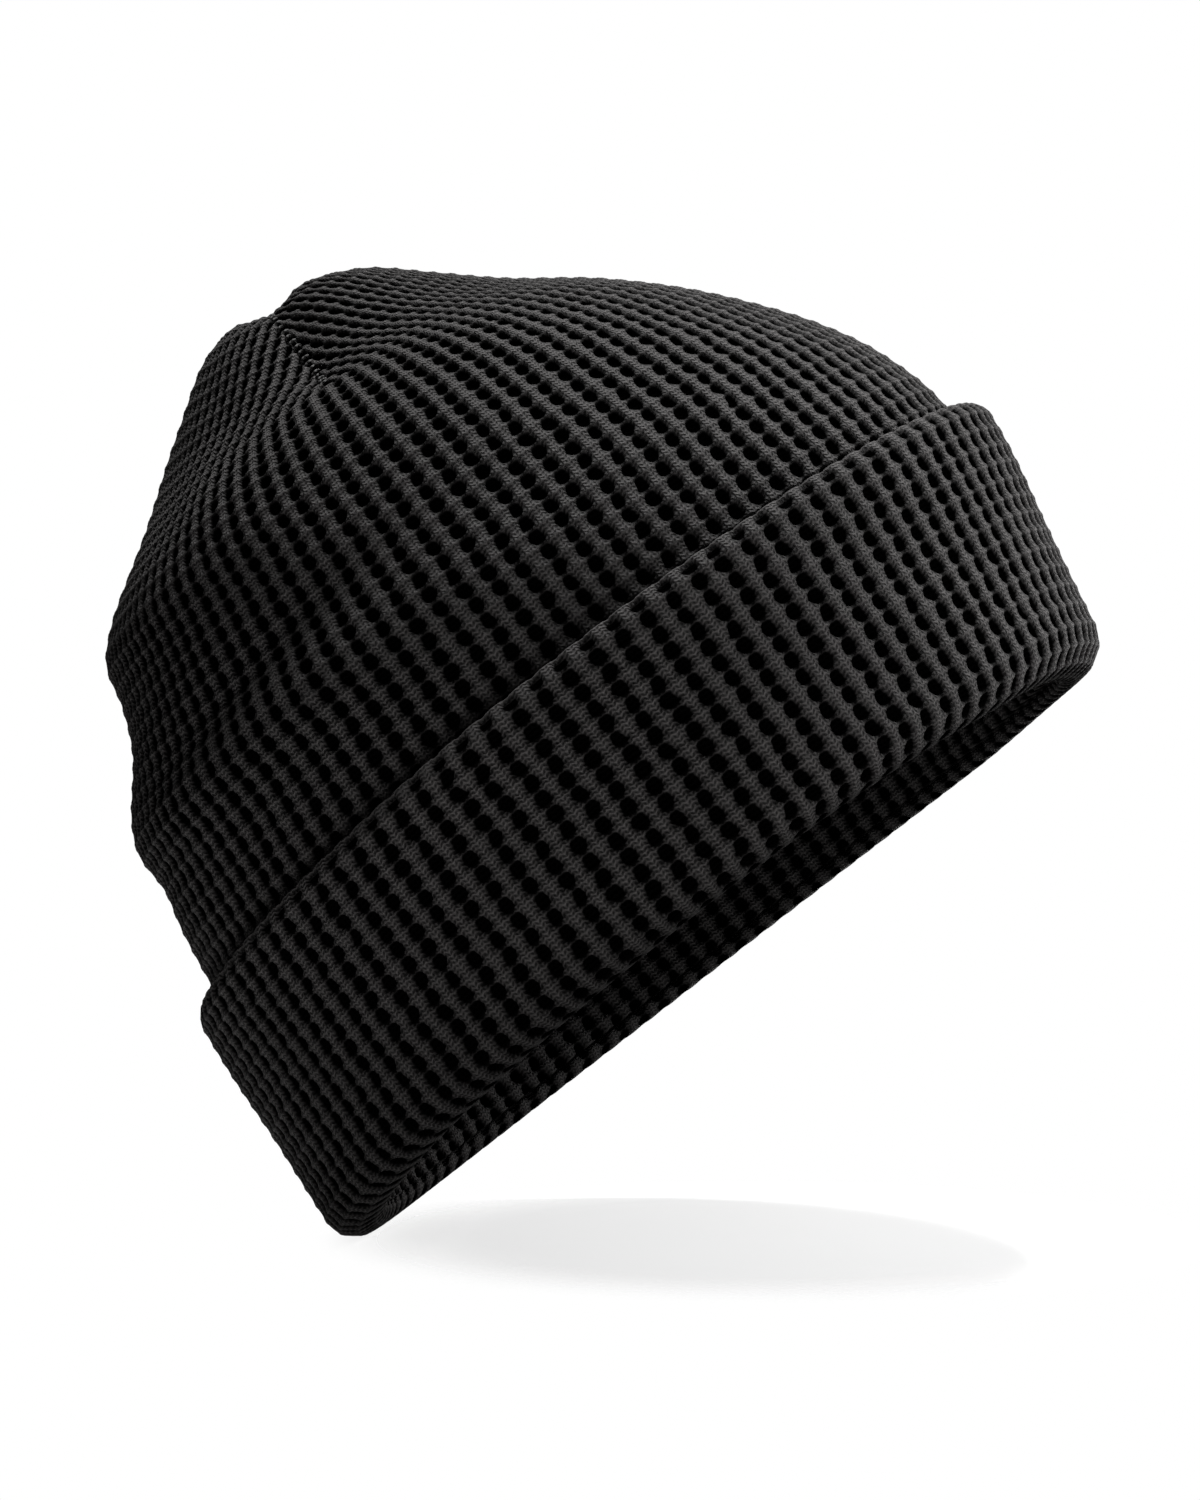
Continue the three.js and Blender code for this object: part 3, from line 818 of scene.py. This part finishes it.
tack_path = np.stack([np.interp(fine, corner, tack_path[:, k]) for k in range(3)], 1)
tack = thread_object("crown_tack_thread", tack_path, TACK_THREAD_RADIUS)
tack.data.materials.append(black_thread)
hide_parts("crown_tack")
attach(tack, "root")

# ---- Floor, light and background ----
# White all round, with a strong lamp over the tipped hat, one beyond its forehead, a low one below
# the camera and a faint one by it. The hat's back corner casts its shadow on a small white patch,
# and a level floor lies under the rim. Both let the lamps through and have no underside.
SKY_LIGHT = 0.05         # the light that comes from all round, against the white that is seen
FLOOR_WHITE = 0.8
LAMPS = (
    # name, metres right, up and towards the camera from the hat's middle, size in metres, watts
    ("top_lamp", 0.05, 1.3, -0.3, 0.5, 90),
    ("front_lamp", 1.25, 0.65, -0.26, 0.5, 40),
    ("camera_lamp", -0.3, 0.2, 1.3, 1.0, 1.0),
    ("low_lamp", -0.25, -0.85, 0.95, 0.3, 11),
)
world = bpy.data.worlds.new("studio")
bpy.context.scene.world = world
world.use_nodes = True
world_nodes, world_links = world.node_tree.nodes, world.node_tree.links
sky = world_nodes["Background"]
sky.inputs["Color"].default_value = (1, 1, 1, 1)
sky.inputs["Strength"].default_value = SKY_LIGHT
seen_sky = world_nodes.new("ShaderNodeBackground")
seen_sky.inputs["Color"].default_value = (1, 1, 1, 1)
ray = world_nodes.new("ShaderNodeLightPath")
mix = world_nodes.new("ShaderNodeMixShader")
world_links.new(ray.outputs["Is Camera Ray"], mix.inputs[0])
world_links.new(sky.outputs[0], mix.inputs[1])
world_links.new(seen_sky.outputs[0], mix.inputs[2])
world_links.new(mix.outputs[0], world_nodes["World Output"].inputs["Surface"])
bpy.context.scene.view_settings.view_transform = "Standard"


def lamp(name, right, up, toward, size, power):
    """A square lamp that shines at the middle of the hat."""
    data = bpy.data.lights.new(name, "AREA")
    data.size = size
    data.energy = power
    made = bpy.data.objects.new(name, data)
    offset = right * picture_right + up * picture_up - toward * look
    made.location = hat_middle + offset
    made.rotation_euler = offset.to_track_quat("Z", "Y").to_euler()
    bpy.context.scene.collection.objects.link(made)


for values in LAMPS:
    lamp(*values)


def floor_object(name, reach, axes, middle):
    """A flat square that reaches equally far from its middle along the first two of its axes."""
    mesh = bpy.data.meshes.new(name)
    corners = [(-reach, -reach, 0), (reach, -reach, 0), (reach, reach, 0), (-reach, reach, 0)]
    mesh.from_pydata(corners, [], [(0, 1, 2, 3)])
    made = bpy.data.objects.new(name, mesh)
    made.matrix_world = Matrix.Translation(middle) @ Matrix(axes).transposed().to_4x4()
    bpy.context.scene.collection.objects.link(made)
    return made


def floor_material(name, glow, width, depth):
    """Matt white that fades out to a soft round edge. It lets the lamps through and can't be seen
    from its underside."""
    material, nodes, links, calc = new_material(name)[:4]
    shader = nodes["Principled BSDF"]
    shader.inputs["Base Color"].default_value = (FLOOR_WHITE, FLOOR_WHITE, FLOOR_WHITE, 1)
    shader.inputs["Roughness"].default_value = 0.9
    shader.inputs["Specular IOR Level"].default_value = 0.0
    shader.inputs["Emission Color"].default_value = (1, 1, 1, 1)
    shader.inputs["Emission Strength"].default_value = glow
    place = nodes.new("ShaderNodeTexCoord")
    shrink = nodes.new("ShaderNodeVectorMath")
    shrink.operation = "DIVIDE"
    shrink.inputs[1].default_value = (width, depth, 1)
    links.new(place.outputs["Object"], shrink.inputs[0])
    far = nodes.new("ShaderNodeVectorMath")
    far.operation = "LENGTH"
    links.new(shrink.outputs[0], far.inputs[0])
    fade = nodes.new("ShaderNodeMapRange")
    fade.interpolation_type = "SMOOTHSTEP"
    fade.inputs["From Min"].default_value = 0.6
    fade.inputs["From Max"].default_value = 1.0
    links.new(far.outputs["Value"], fade.inputs["Value"])
    under = nodes.new("ShaderNodeNewGeometry")
    path = nodes.new("ShaderNodeLightPath")
    clear_share = calc("MAXIMUM", fade.outputs[0], under.outputs["Backfacing"])
    clear_share = calc("MAXIMUM", clear_share, path.outputs["Is Shadow Ray"])
    clear = nodes.new("ShaderNodeBsdfTransparent")
    mixer = nodes.new("ShaderNodeMixShader")
    links.new(clear_share, mixer.inputs[0])
    links.new(shader.outputs[0], mixer.inputs[1])
    links.new(clear.outputs[0], mixer.inputs[2])
    links.new(mixer.outputs[0], nodes["Material Output"].inputs["Surface"])
    return material


REST_REACH, REST_DROP, REST_GLOW = 0.8, 0.4 * MM, 0.1
rest_axes = ((1, 0, 0), (0, 1, 0), (0, 0, 1))
rest_floor = floor_object("rest_floor", REST_REACH, rest_axes, Vector((0, 0, -REST_DROP)))
rest_white = floor_material("rest_floor_white", REST_GLOW, REST_REACH, REST_REACH)
rest_floor.data.materials.append(rest_white)

PATCH_REACH, PATCH_GLOW = 0.1, 0.06
PATCH_WIDTH, PATCH_DEPTH = 0.094, 0.088  # metres from its middle to its soft edge
PATCH_SLOPE = math.radians(2.5)  # down towards the camera, so that its upper face is just seen
PATCH_RIGHT, PATCH_DOWN = 34 * MM, 101.5 * MM  # of the picture's middle
slope_back = math.cos(PATCH_SLOPE) * look + math.sin(PATCH_SLOPE) * picture_up
slope_up = math.cos(PATCH_SLOPE) * picture_up - math.sin(PATCH_SLOPE) * look
patch_middle = aim + PATCH_RIGHT * picture_right - PATCH_DOWN * picture_up
patch_axes = (picture_right, slope_back, slope_up)
shadow_floor = floor_object("shadow_floor", PATCH_REACH, patch_axes, patch_middle)
patch_white = floor_material("shadow_floor_white", PATCH_GLOW, PATCH_WIDTH, PATCH_DEPTH)
shadow_floor.data.materials.append(patch_white)
